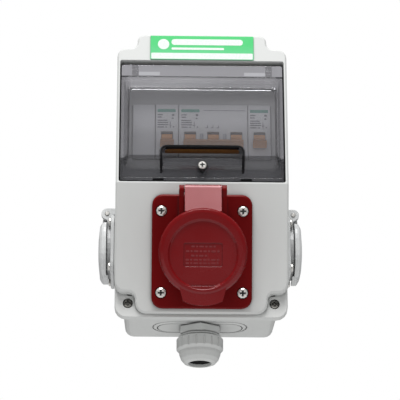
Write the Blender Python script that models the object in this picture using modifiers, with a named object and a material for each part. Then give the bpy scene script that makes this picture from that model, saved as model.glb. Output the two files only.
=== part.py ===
"""Wall-mounted portable power distribution box.

A grey moulded enclosure carries three circuit breakers behind a smoked hinged
window, one round industrial socket with a spring lid on its slanted lower face,
one domestic socket with a hinged lid on each side, and a cable gland below.

Frame: the origin is the centre of the back mounting face, +X is to the right of
someone facing the box, -Y is forward, away from the wall, and +Z is up.
"""
import math

import bmesh
import bpy
from mathutils import Matrix, Vector

MM = 0.001
GAP = 0.3
PART_NAME = "power_distribution_box"

# Enclosure, in millimetres
BOX_HALF_WIDTH = 65.0
BOX_HALF_HEIGHT = 110.5
BASE_HALF_WIDTH = 59.25
BASE_HALF_HEIGHT = 105.0
BASE_DRAFT = 1.65
BASE_END_DRAFT = 0.7
BASE_DEPTH = 63.6
BASE_WALL = 2.65
BASE_CORNER = 7.0
SEAT_DEPTH = 65.0
FLANGE_FRONT = 68.2
FLANGE_BACK = 63.0
FLANGE_CORNER = 9.0
BODY_TOP = 108.6
BODY_BOTTOM = -107.6
BODY_WALL = 2.6
UPPER_FACE = 100.7
FACE_BREAK = -14.8
FACE_TILT = math.radians(18.0)
CORNER_SCREW_X = 55.0
CORNER_SCREW_TOP = 101.0
CORNER_SCREW_BOTTOM = -99.2
NOTCH_X = 49.6
NOTCH_TOP = 97.0
NOTCH_BOTTOM = -92.4

# Window recess, smoked flap and its hinge
RECESS_HALF_WIDTH = 62.75
RECESS_TOP = 86.6
RECESS_BOTTOM = -13.9
RECESS_FLOOR = 84.4
FLAP_HALF_WIDTH = 61.6
FLAP_TOP = 83.0
FLAP_BOTTOM = -12.9
FLAP_BACK = 97.5
FLAP_FRONT = 99.5
BULGE_FRONT = 105.7
FLAP_WALL = 2.0
FLAP_PIVOT_DEPTH = 94.5
FLAP_PIVOT_Z = 80.0
KNUCKLE_RADIUS = 2.5
FLAP_SCREW_Z = -1.5
GRIP_HALF_WIDTH = 30.4
GRIP_FLOOR = 101.5
GRIP_TOP = 12.8
GRIP_LIP = 5.0
GRIP_DEEP = 91.0

# Breakers
MODULE = 17.7
BREAKER_FRONT = 86.9
BREAKER_SHOULDER = 70.0
BREAKER_BACK = 27.0
BREAKER_CENTRE_Z = 33.3
BREAKER_FRONT_HALF = 22.5
BREAKER_REAR_HALF = 39.0
TOGGLE_DEPTH = 83.0
TOGGLE_Z = 27.5
TOGGLE_RADIUS = 4.8
TOGGLE_REST = math.radians(-36.0)
TOGGLE_REACH = 12.0

# Industrial socket, measured along the slanted face
INLET_DOWN_SLOPE = 51.9
INLET_HALF_WIDTH = 37.5
INLET_TOP = 42.9
INLET_BOTTOM = -42.3
INLET_CORNER = 8.0
INLET_PLATE_BACK = 1.6
INLET_PLATE_FRONT = 6.1
INLET_SCREW_PITCH = 61.0
INLET_RIM = 30.2
INLET_BARREL = 28.3
INLET_WELL = 22.5
INLET_REAR = -40.0
INLET_REAR_RADIUS = 26.8
LID_RADIUS = 32.5
LID_BACK = 31.6
LID_FRONT = 37.0
LID_DROP = 1.1
DISH_DROP = 2.8
LID_PIVOT_UP = 45.0
LID_PIVOT_OUT = 22.0

# Domestic side sockets, measured outward from their square pads
SIDE_PAD_FACE = 66.0
SIDE_DEPTH = 33.0
SIDE_Z = -46.0
SIDE_PLATE_HALF = 24.0
SIDE_PLATE_FRONT = 2.9
SIDE_SCREW_HALF = 18.2
SIDE_RIM = 6.0
SIDE_BARREL = 21.0
SIDE_WELL = 19.6
SIDE_REAR = -26.0
SIDE_PIVOT_UP = 26.4
SIDE_PIVOT_OUT = 6.0

# Cable gland
GLAND_DEPTH = 27.0
GLAND_SEAT = 105.2
GLAND_HOLE = 12.7
GLAND_BORE = 8.6


def frame(origin, across, up, out):
    """Matrix from local millimetres (across, up, out) to world metres."""
    matrix = Matrix.Identity(4)
    for column, axis in enumerate((across, up, out)):
        for row in range(3):
            matrix[row][column] = axis[row] * MM
    for row in range(3):
        matrix[row][3] = origin[row] * MM
    return matrix


def inlet_origin():
    """Centre of the industrial socket on the slanted face, in millimetres."""
    depth = UPPER_FACE - INLET_DOWN_SLOPE * math.sin(FACE_TILT)
    height = FACE_BREAK - INLET_DOWN_SLOPE * math.cos(FACE_TILT)
    return (0.0, -depth, height)


FRONT = frame((0, 0, 0), (1, 0, 0), (0, 0, 1), (0, -1, 0))
INLET = frame(
    inlet_origin(),
    (1, 0, 0),
    (0, -math.sin(FACE_TILT), math.cos(FACE_TILT)),
    (0, -math.cos(FACE_TILT), -math.sin(FACE_TILT)),
)
RIGHT = frame((SIDE_PAD_FACE, -SIDE_DEPTH, SIDE_Z), (0, 1, 0), (0, 0, 1), (1, 0, 0))
LEFT = frame((-SIDE_PAD_FACE, -SIDE_DEPTH, SIDE_Z), (0, -1, 0), (0, 0, 1), (-1, 0, 0))
DOWN = frame((0, -GLAND_DEPTH, 0), (1, 0, 0), (0, -1, 0), (0, 0, -1))
# Outlines given as (depth, height) and pushed along +X
SIDEWAYS = frame((0, 0, 0), (0, -1, 0), (0, 0, 1), (-1, 0, 0))


def clear_scene():
    for item in list(bpy.data.objects):
        bpy.data.objects.remove(item, do_unlink=True)


def collection(name):
    group = bpy.data.collections.new(name)
    bpy.context.scene.collection.children.link(group)
    return group


def material(name, colour, roughness, metallic=0.0):
    made = bpy.data.materials.new(name)
    made.use_nodes = True
    shader = made.node_tree.nodes["Principled BSDF"]
    shader.inputs["Base Color"].default_value = (*colour, 1.0)
    shader.inputs["Roughness"].default_value = roughness
    shader.inputs["Metallic"].default_value = metallic
    made.diffuse_color = (*colour, 1.0)
    return made


def circle(radius, segments, centre=(0.0, 0.0), phase=0.0):
    points = []
    for index in range(segments):
        angle = phase + 2.0 * math.pi * index / segments
        points.append((centre[0] + radius * math.cos(angle), centre[1] + radius * math.sin(angle)))
    return points


def arc(centre, radius, start, end, steps):
    """Points on an arc, angles in degrees."""
    points = []
    for index in range(steps + 1):
        angle = math.radians(start + (end - start) * index / steps)
        points.append((centre[0] + radius * math.cos(angle), centre[1] + radius * math.sin(angle)))
    return points


def rectangle(left, right, bottom, top, radius, steps=4):
    """Rounded rectangle, counter-clockwise."""
    points = arc((right - radius, bottom + radius), radius, -90, 0, steps)
    points += arc((right - radius, top - radius), radius, 0, 90, steps)
    points += arc((left + radius, top - radius), radius, 90, 180, steps)
    points += arc((left + radius, bottom + radius), radius, 180, 270, steps)
    return points


def rounded(corners, radii, steps=4):
    """Polygon with each corner, convex or concave, replaced by an arc of its radius."""
    points = []
    count = len(corners)
    for index, radius in enumerate(radii):
        here = Vector(corners[index])
        if radius <= 0:
            points.append((here.x, here.y))
            continue
        before = (Vector(corners[index - 1]) - here).normalized()
        after = (Vector(corners[(index + 1) % count]) - here).normalized()
        half = before.angle(after) / 2.0
        centre = here + (before + after).normalized() * (radius / math.sin(half))
        first = here + before * (radius / math.tan(half)) - centre
        last = here + after * (radius / math.tan(half)) - centre
        turn = first.angle_signed(last)
        for step in range(steps + 1):
            spoke = first.copy()
            spoke.rotate(Matrix.Rotation(-turn * step / steps, 2))
            points.append((centre.x + spoke.x, centre.y + spoke.y))
    return points


def level(outline, out):
    """Lift a flat outline to one height."""
    return [(point[0], point[1], out) for point in outline]


def ring_level(radius, out, segments, centre=(0.0, 0.0)):
    return level(circle(radius, segments, centre), out)


def skin(name, loops, matrix, group, finish=None, closed=False, sharp=30.0):
    """One closed body skinned over loops of equal length; caps fill both ends unless closed."""
    mesh = bpy.data.meshes.new(name)
    body = bmesh.new()
    rings = []
    for loop in loops:
        rings.append([body.verts.new(matrix @ Vector(point)) for point in loop])
    pairs = list(zip(rings, rings[1:]))
    if closed:
        pairs.append((rings[-1], rings[0]))
    for lower, upper in pairs:
        for index in range(len(lower)):
            following = (index + 1) % len(lower)
            body.faces.new((lower[index], lower[following], upper[following], upper[index]))
    if not closed:
        body.faces.new(rings[0])
        body.faces.new(rings[-1])
    bmesh.ops.recalc_face_normals(body, faces=body.faces)
    body.to_mesh(mesh)
    body.free()
    mesh.shade_smooth()
    mesh.set_sharp_from_angle(angle=math.radians(sharp))
    made = bpy.data.objects.new(name, mesh)
    group.objects.link(made)
    if finish is not None:
        mesh.materials.append(finish)
    return made


def prism(name, outline, start, end, matrix, group, finish=None):
    return skin(name, [level(outline, start), level(outline, end)], matrix, group, finish)


def turned(name, profile, segments, matrix, group, finish=None, centre=(0.0, 0.0), closed=False):
    """Solid of revolution from (radius, out) pairs about the local out axis."""
    loops = [ring_level(radius, out, segments, centre) for radius, out in profile]
    return skin(name, loops, matrix, group, finish, closed)


class Shop:
    """Keeps the two collections and makes cutters with unique names."""

    def __init__(self):
        self.parts = collection(PART_NAME)
        self.tools = collection("cutters")
        self.count = 0

    def tool(self, outline, start, end, matrix, end_outline=None):
        self.count += 1
        loops = [level(outline, start), level(end_outline or outline, end)]
        made = skin("tool_%03d" % self.count, loops, matrix, self.tools)
        return self.hide(made)

    def turned_tool(self, profile, segments, matrix, centre=(0.0, 0.0)):
        self.count += 1
        made = turned("tool_%03d" % self.count, profile, segments, matrix, self.tools, None, centre)
        return self.hide(made)

    def hole(self, radius, start, end, matrix, centre=(0.0, 0.0), segments=16):
        return self.tool(circle(radius, segments, centre), start, end, matrix)

    @staticmethod
    def hide(made):
        made.hide_render = True
        made.display_type = "WIRE"
        return made


def boolean(target, tool, operation):
    step = target.modifiers.new(operation.lower(), "BOOLEAN")
    step.operation = operation
    step.solver = "EXACT"
    step.object = tool


def cut(target, *tools):
    for tool in tools:
        boolean(target, tool, "DIFFERENCE")


def join(target, *tools):
    for tool in tools:
        boolean(target, tool, "UNION")


def bevel(target, width, segments=2, angle=35.0):
    step = target.modifiers.new("edge", "BEVEL")
    step.width = width * MM
    step.segments = segments
    step.limit_method = "ANGLE"
    step.angle_limit = math.radians(angle)


def slice_off(target, point, normal):
    """Cut a solid by a plane, keep the side behind the normal, and close it."""
    body = bmesh.new()
    body.from_mesh(target.data)
    everything = body.verts[:] + body.edges[:] + body.faces[:]
    bmesh.ops.bisect_plane(
        body, geom=everything, dist=1e-7, plane_co=point, plane_no=normal, clear_outer=True
    )
    rim = [edge for edge in body.edges if edge.is_boundary]
    bmesh.ops.holes_fill(body, edges=rim)
    bmesh.ops.recalc_face_normals(body, faces=body.faces)
    body.to_mesh(target.data)
    body.free()


def slant_plane(inset):
    """Point and outward normal of the slanted lower face, moved inward by inset."""
    normal = Vector((0.0, -math.cos(FACE_TILT), -math.sin(FACE_TILT)))
    point = Vector((0.0, -UPPER_FACE, FACE_BREAK)) * MM - normal * inset * MM
    return point, normal


def set_origin(target, matrix, point):
    """Move the object's origin to a local point, keeping its shape in place."""
    place = matrix @ Vector(point)
    target.data.transform(Matrix.Translation(-place))
    target.location = place


def corners_of(half_x, half_y):
    return [(-half_x, half_y), (half_x, half_y), (-half_x, -half_y), (half_x, -half_y)]


def cover_screw_centres():
    top = [(-CORNER_SCREW_X, CORNER_SCREW_TOP), (CORNER_SCREW_X, CORNER_SCREW_TOP)]
    bottom = [(-CORNER_SCREW_X, CORNER_SCREW_BOTTOM), (CORNER_SCREW_X, CORNER_SCREW_BOTTOM)]
    return top + bottom


# Enclosure ---------------------------------------------------------------


def notched(half_width, bottom, top, notch_x, notch_bottom, notch_top, radii, steps=4):
    """Front outline of the raised body with its four corner pockets."""
    tab, inner, shoulder, low = radii
    corners = [
        (notch_x, bottom),
        (notch_x, notch_bottom),
        (half_width, notch_bottom),
        (half_width, notch_top),
        (notch_x, notch_top),
        (notch_x, top),
        (-notch_x, top),
        (-notch_x, notch_top),
        (-half_width, notch_top),
        (-half_width, notch_bottom),
        (-notch_x, notch_bottom),
        (-notch_x, bottom),
    ]
    order = [low, inner, shoulder, shoulder, inner, tab, tab, inner, shoulder, shoulder, inner, low]
    return rounded(corners, order, steps)


def stadium_ring(shop, half_length, half_width):
    """Cutter for a narrow groove around the knock-out in the bottom wall."""
    outer = rectangle(-half_length, half_length, -half_width, half_width, half_width - 0.01, 5)
    inner_length, inner_width = half_length - 0.9, half_width - 0.9
    inner = rectangle(-inner_length, inner_length, -inner_width, inner_width, inner_width - 0.01, 5)
    low, high = 103.5, 106.5
    loops = [level(outer, low), level(outer, high), level(inner, high), level(inner, low)]
    return shop.hide(skin("tool_groove_%d" % half_length, loops, DOWN, shop.tools, closed=True))


def build_base(shop, finish):
    back_width = BASE_HALF_WIDTH - BASE_DRAFT
    back_height = BASE_HALF_HEIGHT - BASE_END_DRAFT
    edge = 1.6
    outer = [
        level(
            rectangle(-back_width + edge, back_width - edge, -back_height + edge, back_height - edge, 5.0),
            0.0,
        ),
        level(rectangle(-back_width, back_width, -back_height, back_height, BASE_CORNER), edge),
        level(
            rectangle(-BASE_HALF_WIDTH, BASE_HALF_WIDTH, -BASE_HALF_HEIGHT, BASE_HALF_HEIGHT, BASE_CORNER),
            BASE_DEPTH,
        ),
    ]
    base = skin("base_box", outer, FRONT, shop.parts, finish)
    pad_loops = (rectangle(-27.0, 27.0, -34.0, 30.0, 8.0), rectangle(-24.6, 24.6, -24.6, 24.6, 8.6))
    for side in (LEFT, RIGHT):
        join(base, shop.tool(pad_loops[0], -8.6, 0.0, side, pad_loops[1]))
    stadium = rectangle(-35.6, 35.6, -13.4, 13.4, 13.39, 5)
    stadium_top = rectangle(-33.4, 33.4, -11.2, 11.2, 11.19, 5)
    seat = skin(
        "tool_gland_seat",
        [level(stadium, 102.6), level(stadium, 104.5), level(stadium_top, GLAND_SEAT)],
        DOWN,
        shop.tools,
    )
    join(base, shop.hide(seat))
    for grow in (0.9, -2.6):
        groove = stadium_ring(shop, 35.6 + grow, 13.4 + grow)
        cut(base, groove)
    inner_back = (back_width - BASE_WALL, back_height - BASE_WALL)
    inner_front = (BASE_HALF_WIDTH - BASE_WALL, BASE_HALF_HEIGHT - BASE_WALL)
    post_x, post_z = 50.4, 94.0
    hollow = [
        level(notched(inner_back[0], -inner_back[1], inner_back[1], post_x, -post_z, post_z, (1.5, 1.5, 1.5, 1.5), 2), 3.0),
        level(
            notched(inner_front[0], -inner_front[1], inner_front[1], post_x, -post_z, post_z, (1.5, 1.5, 1.5, 1.5), 2),
            BASE_DEPTH + 1.0,
        ),
    ]
    cavity = skin("tool_base_cavity", hollow, FRONT, shop.tools)
    cut(base, shop.hide(cavity))
    for x in (-46.0, 46.0):
        outline = rectangle(x - 5.0, x + 5.0, BREAKER_CENTRE_Z - 8.0, BREAKER_CENTRE_Z + 8.0, 1.0, 2)
        join(base, shop.tool(outline, 2.5, 18.9, FRONT))
    for x in (-24.0, 24.0):
        outline = rectangle(x - 4.0, x + 4.0, -84.0, -77.0, 1.0, 2)
        join(base, shop.tool(outline, 2.5, 7.7, FRONT))
    for x, z in cover_screw_centres():
        cut(base, shop.hole(1.8, BASE_DEPTH - 17.0, BASE_DEPTH + 1.0, FRONT, (x, z), 10))
    for x, z in corners_of(40.0, 85.0):
        cut(base, shop.hole(2.6, -1.0, 4.0, FRONT, (x, z), 12))
    cut(base, shop.hole(GLAND_HOLE, 95.0, 107.0, DOWN, segments=28))
    for side in (LEFT, RIGHT):
        cut(base, shop.hole(SIDE_BARREL + 0.5, -14.0, 1.0, side, segments=32))
        for u, v in corners_of(SIDE_SCREW_HALF, SIDE_SCREW_HALF):
            cut(base, shop.hole(1.65, -7.6, 1.0, side, (u, v), 8))
    return base


def build_cover(shop, finish):
    outline = notched(
        BOX_HALF_WIDTH, BODY_BOTTOM, BODY_TOP, NOTCH_X, NOTCH_BOTTOM, NOTCH_TOP, (5.5, 5.0, 7.0, 8.0), 4
    )
    cover = prism("front_cover", outline, FLANGE_FRONT - 1.5, UPPER_FACE, FRONT, shop.parts, finish)
    slice_off(cover, *slant_plane(0.0))
    bevel(cover, 1.2, 1)
    flange = skin(
        "tool_flange",
        [
            level(rectangle(-65.0, 65.0, -110.5, 110.5, FLANGE_CORNER, 4), FLANGE_BACK),
            level(rectangle(-65.0, 65.0, -110.5, 110.5, FLANGE_CORNER, 4), FLANGE_FRONT - 1.0),
            level(rectangle(-64.2, 64.2, -109.7, 109.7, FLANGE_CORNER - 0.8, 4), FLANGE_FRONT),
        ],
        FRONT,
        shop.tools,
    )
    join(cover, shop.hide(flange))
    cut(cover, shop.tool(rectangle(-59.8, 59.8, -105.6, 105.6, 7.5), 60.0, SEAT_DEPTH, FRONT))
    throat = notched(56.3, -102.2, 102.2, 49.0, -93.2, 93.2, (1.5, 1.5, 1.5, 1.5), 2)
    cut(cover, shop.tool(throat, 62.0, FLANGE_FRONT, FRONT))
    wall = BODY_WALL
    inside = notched(
        BOX_HALF_WIDTH - wall,
        BODY_BOTTOM + wall,
        BODY_TOP - wall,
        NOTCH_X - wall,
        NOTCH_BOTTOM + wall,
        NOTCH_TOP - wall,
        (2.9, 7.6, 4.4, 5.4),
        2,
    )
    bay = shop.tool(inside, 67.4, RECESS_FLOOR - wall, FRONT)
    slice_off(bay, *slant_plane(wall))
    cut(cover, bay)
    lower = notched(
        BOX_HALF_WIDTH - wall,
        BODY_BOTTOM + wall,
        RECESS_BOTTOM - wall,
        NOTCH_X - wall,
        NOTCH_BOTTOM + wall,
        RECESS_BOTTOM - wall - 8.0,
        (2.9, 7.6, 4.4, 5.4),
        2,
    )
    lower_bay = shop.tool(lower, 67.9, UPPER_FACE - wall, FRONT)
    slice_off(lower_bay, *slant_plane(wall))
    cut(cover, lower_bay)
    tab_bay = rectangle(-NOTCH_X + wall, NOTCH_X - wall, RECESS_TOP + wall, BODY_TOP - wall, 2.0, 2)
    cut(cover, shop.tool(tab_bay, 68.4, UPPER_FACE - wall, FRONT))
    recess = rectangle(-RECESS_HALF_WIDTH, RECESS_HALF_WIDTH, RECESS_BOTTOM, RECESS_TOP, 1.6, 3)
    cut(cover, shop.tool(recess, RECESS_FLOOR, UPPER_FACE + 3.0, FRONT))
    window = rectangle(-53.4, 53.4, BREAKER_CENTRE_Z - 22.8, BREAKER_CENTRE_Z + 22.8, 1.0, 2)
    cut(cover, shop.tool(window, 80.0, 86.0, FRONT))
    build_cover_fixings(shop, cover)
    return cover


def build_cover_fixings(shop, cover):
    join(cover, shop.hole(3.7, RECESS_FLOOR - 1.0, 94.0, FRONT, (0.0, FLAP_SCREW_Z), 20))
    cut(cover, shop.hole(2.2, 78.0, 98.0, FRONT, (0.0, FLAP_SCREW_Z)))
    lug = [(RECESS_FLOOR - 1.0, FLAP_PIVOT_Z - KNUCKLE_RADIUS)]
    lug += arc((FLAP_PIVOT_DEPTH, FLAP_PIVOT_Z), KNUCKLE_RADIUS, -90, 90, 8)
    lug += [(RECESS_FLOOR - 1.0, FLAP_PIVOT_Z + KNUCKLE_RADIUS)]
    for left in (-58.0, -48.0, 44.0, 54.0):
        join(cover, shop.tool(lug, -left, -left - 4.0, SIDEWAYS))
    for left in (-44.5, 32.3):
        shelf = rectangle(left, left + 12.2, 77.0, 80.2, 0.4, 2)
        join(cover, shop.tool(shelf, RECESS_FLOOR - 1.0, 93.0, FRONT))
    axle = circle(1.5, 12, (FLAP_PIVOT_DEPTH, FLAP_PIVOT_Z))
    for left in (-59.0, 43.0):
        cut(cover, shop.tool(axle, -left, -left - 16.0, SIDEWAYS))
    cut(cover, shop.hole(INLET_REAR_RADIUS + 1.5, -30.0, 5.0, INLET, segments=36))
    half = INLET_SCREW_PITCH / 2.0
    for x, t in corners_of(half, half):
        cut(cover, shop.hole(2.0, -8.0, 5.0, INLET, (x, t), 8))
    for x, z in cover_screw_centres():
        profile = [(1.9, 60.0), (1.9, FLANGE_FRONT - 1.6), (3.9, FLANGE_FRONT - 1.6), (3.9, FLANGE_FRONT + 1.0)]
        cut(cover, shop.turned_tool(profile, 14, FRONT, (x, z)))


def build_cover_gasket(shop, finish):
    outer = rectangle(-58.4, 58.4, -104.2, 104.2, 4.0)
    inner = rectangle(-57.2, 57.2, -103.0, 103.0, 2.8)
    start, end = BASE_DEPTH + GAP, SEAT_DEPTH - GAP
    loops = [level(outer, start), level(outer, end), level(inner, end), level(inner, start)]
    skin("cover_gasket", loops, FRONT, shop.parts, finish, closed=True)


def build_screw(shop, name, finish, matrix, centre, head, shank, top, seat, tip, slot):
    """Pan-head screw with a cross recess; all heights along the local out axis."""
    rise = top - seat
    profile = [
        (shank, tip),
        (shank, seat),
        (head, seat),
        (head, seat + rise * 0.5),
        (head * 0.7, top),
    ]
    screw = turned(name, profile, 10, matrix, shop.parts, finish, centre)
    arm, half = head * 0.6, head * 0.19
    for wide, tall in ((arm, half), (half, arm)):
        left, right = centre[0] - wide, centre[0] + wide
        bottom, upper = centre[1] - tall, centre[1] + tall
        outline = [(left, bottom), (right, bottom), (right, upper), (left, upper)]
        cut(screw, shop.tool(outline, top - slot, top + 1.0, matrix))
    return screw


def build_cover_screws(shop, finish):
    for number, centre in enumerate(cover_screw_centres(), 1):
        build_screw(
            shop,
            "cover_screw_%d" % number,
            finish,
            FRONT,
            centre,
            3.4,
            1.5,
            FLANGE_FRONT + 0.7,
            FLANGE_FRONT - 1.3,
            BASE_DEPTH - 14.0,
            1.0,
        )


def build_label(shop, finish):
    loops = [
        level(rectangle(-39.7, 39.7, 87.1, 107.2, 0.6, 2), UPPER_FACE + GAP),
        level(rectangle(-39.7, 39.7, 87.1, 107.2, 0.6, 2), UPPER_FACE + GAP + 0.5),
    ]
    skin("label_plate", loops, FRONT, shop.parts, finish)


# Smoked window flap ------------------------------------------------------


def bulge_loops(inset, start, top):
    """Raised panel of the flap, narrower in front."""
    wide = rectangle(-59.3 + inset, 59.3 - inset, -3.5 + inset, 73.7 - inset, 5.4 - inset * 0.5)
    front = rectangle(-57.2 + inset, 57.2 - inset, 5.5 + inset * 0.6, 61.7 - inset * 0.6, 4.6 - inset * 0.5)
    return [level(wide, start), level(wide, FLAP_FRONT - inset), level(front, top)]


def build_flap(shop, finish):
    width, low, high = FLAP_HALF_WIDTH, FLAP_BOTTOM, FLAP_TOP
    plate = rectangle(-width, width, low, high, 1.5, 3)
    flap = prism("window_flap", plate, FLAP_BACK - 3.0, FLAP_FRONT, FRONT, shop.parts, finish)
    pocket = rectangle(-width + 1.5, width - 1.5, low + 1.5, high + 9.0, 1.0, 2)
    cut(flap, shop.tool(pocket, FLAP_BACK - 4.0, FLAP_BACK, FRONT))
    bulge = skin("tool_bulge", bulge_loops(0.0, FLAP_BACK + 0.5, BULGE_FRONT), FRONT, shop.tools)
    join(flap, shop.hide(bulge))
    hollow = skin(
        "tool_bulge_hollow", bulge_loops(FLAP_WALL, FLAP_BACK - 1.0, BULGE_FRONT - FLAP_WALL), FRONT, shop.tools
    )
    grip_block = rectangle(-GRIP_HALF_WIDTH - 2.0, GRIP_HALF_WIDTH + 2.0, -9.0, GRIP_TOP + 2.0, 5.0, 4)
    cut(hollow, shop.tool(grip_block, FLAP_BACK - 2.0, BULGE_FRONT + 1.0, FRONT))
    cut(flap, shop.hide(hollow))
    scoop = rectangle(-GRIP_HALF_WIDTH - 1.8, GRIP_HALF_WIDTH + 1.8, GRIP_LIP - 1.8, GRIP_TOP + 1.8, 4.0, 4)
    join(flap, shop.tool(scoop, GRIP_DEEP - 1.8, FLAP_BACK + 1.0, FRONT))
    grip = rectangle(-GRIP_HALF_WIDTH, GRIP_HALF_WIDTH, -14.0, GRIP_TOP, 4.0, 4)
    cut(flap, shop.tool(grip, GRIP_FLOOR, BULGE_FRONT + 1.0, FRONT))
    fingers = rectangle(-GRIP_HALF_WIDTH, GRIP_HALF_WIDTH, GRIP_LIP, GRIP_TOP, 3.5, 4)
    cut(flap, shop.tool(fingers, GRIP_DEEP, GRIP_FLOOR + 1.0, FRONT))
    ridge = rectangle(-60.4, 60.4, low + 0.2, low + 2.6, 0.8, 2)
    join(flap, shop.tool(ridge, FLAP_FRONT - 0.5, FLAP_FRONT + 1.1, FRONT))
    for middle in (-33.1, 33.1):
        slot = rectangle(middle - 4.2, middle + 4.2, low - 1.0, low + 1.9, 0.4, 1)
        cut(flap, shop.tool(slot, FLAP_BACK - 4.0, FLAP_FRONT + 2.0, FRONT))
    cut(flap, shop.hole(2.0, FLAP_BACK - 1.0, GRIP_FLOOR + 1.0, FRONT, (0.0, FLAP_SCREW_Z)))
    for left in (-53.7, 48.3):
        knuckle = [(FLAP_BACK + 0.5, FLAP_PIVOT_Z + KNUCKLE_RADIUS)]
        knuckle += arc((FLAP_PIVOT_DEPTH, FLAP_PIVOT_Z), KNUCKLE_RADIUS, 90, 270, 8)
        knuckle += [(FLAP_BACK + 0.5, FLAP_PIVOT_Z - KNUCKLE_RADIUS)]
        join(flap, shop.tool(knuckle, -left, -left - 5.4, SIDEWAYS))
        axle = circle(1.5, 12, (FLAP_PIVOT_DEPTH, FLAP_PIVOT_Z))
        cut(flap, shop.tool(axle, -left + 0.5, -left - 5.9, SIDEWAYS))
    set_origin(flap, FRONT, (0.0, FLAP_PIVOT_Z, FLAP_PIVOT_DEPTH))


def build_flap_pins(shop, finish):
    for name, left in (("window_pin_left", -58.2), ("window_pin_right", 43.8)):
        axle = circle(1.2, 12, (FLAP_PIVOT_DEPTH, FLAP_PIVOT_Z))
        prism(name, axle, -left, -left - 14.4, SIDEWAYS, shop.parts, finish)


def build_flap_screw(shop, steel, rubber):
    start, end = GRIP_FLOOR + GAP, GRIP_FLOOR + 1.5
    profile = [(4.2, start), (4.2, end - 0.4), (3.8, end), (1.9, end), (1.9, start)]
    turned("window_screw_bush", profile, 18, FRONT, shop.parts, rubber, (0.0, FLAP_SCREW_Z), True)
    screw = build_screw(
        shop,
        "window_screw",
        steel,
        FRONT,
        (0.0, FLAP_SCREW_Z),
        3.1,
        1.6,
        end + GAP + 1.5,
        end + GAP,
        90.0,
        0.9,
    )
    set_origin(screw, FRONT, (0.0, FLAP_SCREW_Z, end))


# Breakers ----------------------------------------------------------------


def breaker_outline():
    """Side view of a rail-mounted breaker as (depth, height)."""
    mid = BREAKER_CENTRE_Z
    top = [
        (BREAKER_FRONT, mid + BREAKER_FRONT_HALF),
        (BREAKER_SHOULDER, mid + BREAKER_FRONT_HALF),
        (BREAKER_SHOULDER, mid + BREAKER_REAR_HALF),
        (31.0, mid + BREAKER_REAR_HALF),
        (31.0, mid + 22.0),
        (23.5, mid + 22.0),
        (23.5, mid + 18.0),
        (BREAKER_BACK, mid + 18.0),
    ]
    bottom = [(depth, 2.0 * mid - height) for depth, height in reversed(top)]
    return top + bottom


def build_breaker(shop, name, finish, centre_x, poles):
    half = poles * MODULE / 2.0 - 0.15
    body = prism(name, breaker_outline(), -centre_x - half, -centre_x + half, SIDEWAYS, shop.parts, finish)
    bevel(body, 0.5, 1)
    for pole in range(poles):
        x = centre_x + (pole - (poles - 1) / 2.0) * MODULE
        slot = rectangle(x - 4.6, x + 4.6, TOGGLE_Z - 5.6, TOGGLE_Z + 5.6, 0.5, 1)
        cut(body, shop.tool(slot, 76.5, BREAKER_FRONT + 1.0, FRONT))
        for height in (-14.0, 80.6):
            port = rectangle(x - 4.5, x + 4.5, height, height + 12.0, 0.5, 1)
            cut(body, shop.tool(port, 44.0, 56.0, FRONT))
    return body


def toggle_outline():
    """Lever and barrel as (depth, height), hanging down in the off position."""
    out = Vector((math.cos(TOGGLE_REST), math.sin(TOGGLE_REST)))
    side = Vector((-out.y, out.x))
    centre = Vector((TOGGLE_DEPTH, TOGGLE_Z))
    return out, side, centre


def lever(out, side, centre, near, far, thick):
    corners = [
        centre + out * near - side * thick,
        centre + out * far - side * thick,
        centre + out * far + side * thick,
        centre + out * near + side * thick,
    ]
    return [(corner.x, corner.y) for corner in corners]


def build_toggle(shop, name, finish, centres):
    out, side, centre = toggle_outline()
    barrel = circle(TOGGLE_RADIUS, 16, (TOGGLE_DEPTH, TOGGLE_Z))
    first = centres[0]
    toggle = prism(name, barrel, -first - 4.2, -first + 4.2, SIDEWAYS, shop.parts, finish)
    for x in centres[1:]:
        join(toggle, shop.tool(barrel, -x - 4.2, -x + 4.2, SIDEWAYS))
    for x in centres:
        join(toggle, shop.tool(lever(out, side, centre, 2.0, TOGGLE_REACH - 0.5, 1.55), -x - 3.9, -x + 3.9, SIDEWAYS))
    low, high = min(centres) - 5.2, max(centres) + 5.2
    handle = lever(out, side, centre, TOGGLE_REACH - 4.6, TOGGLE_REACH, 2.7)
    join(toggle, shop.tool(handle, -high, -low, SIDEWAYS))
    set_origin(toggle, FRONT, (sum(centres) / len(centres), TOGGLE_Z, TOGGLE_DEPTH))


def build_rail(shop, finish):
    front, back, inner = 26.7, 25.7, 20.2
    rear = inner - 1.0
    half = [
        (front, 17.5),
        (front, 11.5),
        (inner, 11.5),
        (inner, -11.5),
        (front, -11.5),
        (front, -17.5),
        (back, -17.5),
        (back, -12.5),
        (rear, -12.5),
        (rear, 12.5),
        (back, 12.5),
        (back, 17.5),
    ]
    outline = [(depth, BREAKER_CENTRE_Z + height) for depth, height in half]
    prism("din_rail", outline, -53.5, 53.5, SIDEWAYS, shop.parts, finish)


def build_blank(shop, finish, centre_x):
    low, high = BREAKER_CENTRE_Z - 22.4, BREAKER_CENTRE_Z + 22.4
    plate = rectangle(centre_x - 8.6, centre_x + 8.6, low, high, 0.6, 1)
    blank = prism("blanking_plate", plate, 81.0, BREAKER_FRONT - 0.4, FRONT, shop.parts, finish)
    bevel(blank, 0.4, 1)
    hollow = rectangle(centre_x - 7.1, centre_x + 7.1, low + 1.5, high - 1.5, 0.6, 1)
    cut(blank, shop.tool(hollow, 80.0, 84.6, FRONT))


def build_earth_bar(shop, finish):
    outline = rectangle(-31.0, 31.0, -84.0, -77.0, 0.6, 1)
    bar = prism("earth_bar", outline, 8.0, 15.0, FRONT, shop.parts, finish)
    for index in range(6):
        x = -22.5 + 9.0 * index
        cut(bar, shop.hole(1.9, 7.0, 16.0, FRONT, (x, -80.5), 8))


# Industrial socket -------------------------------------------------------


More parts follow.
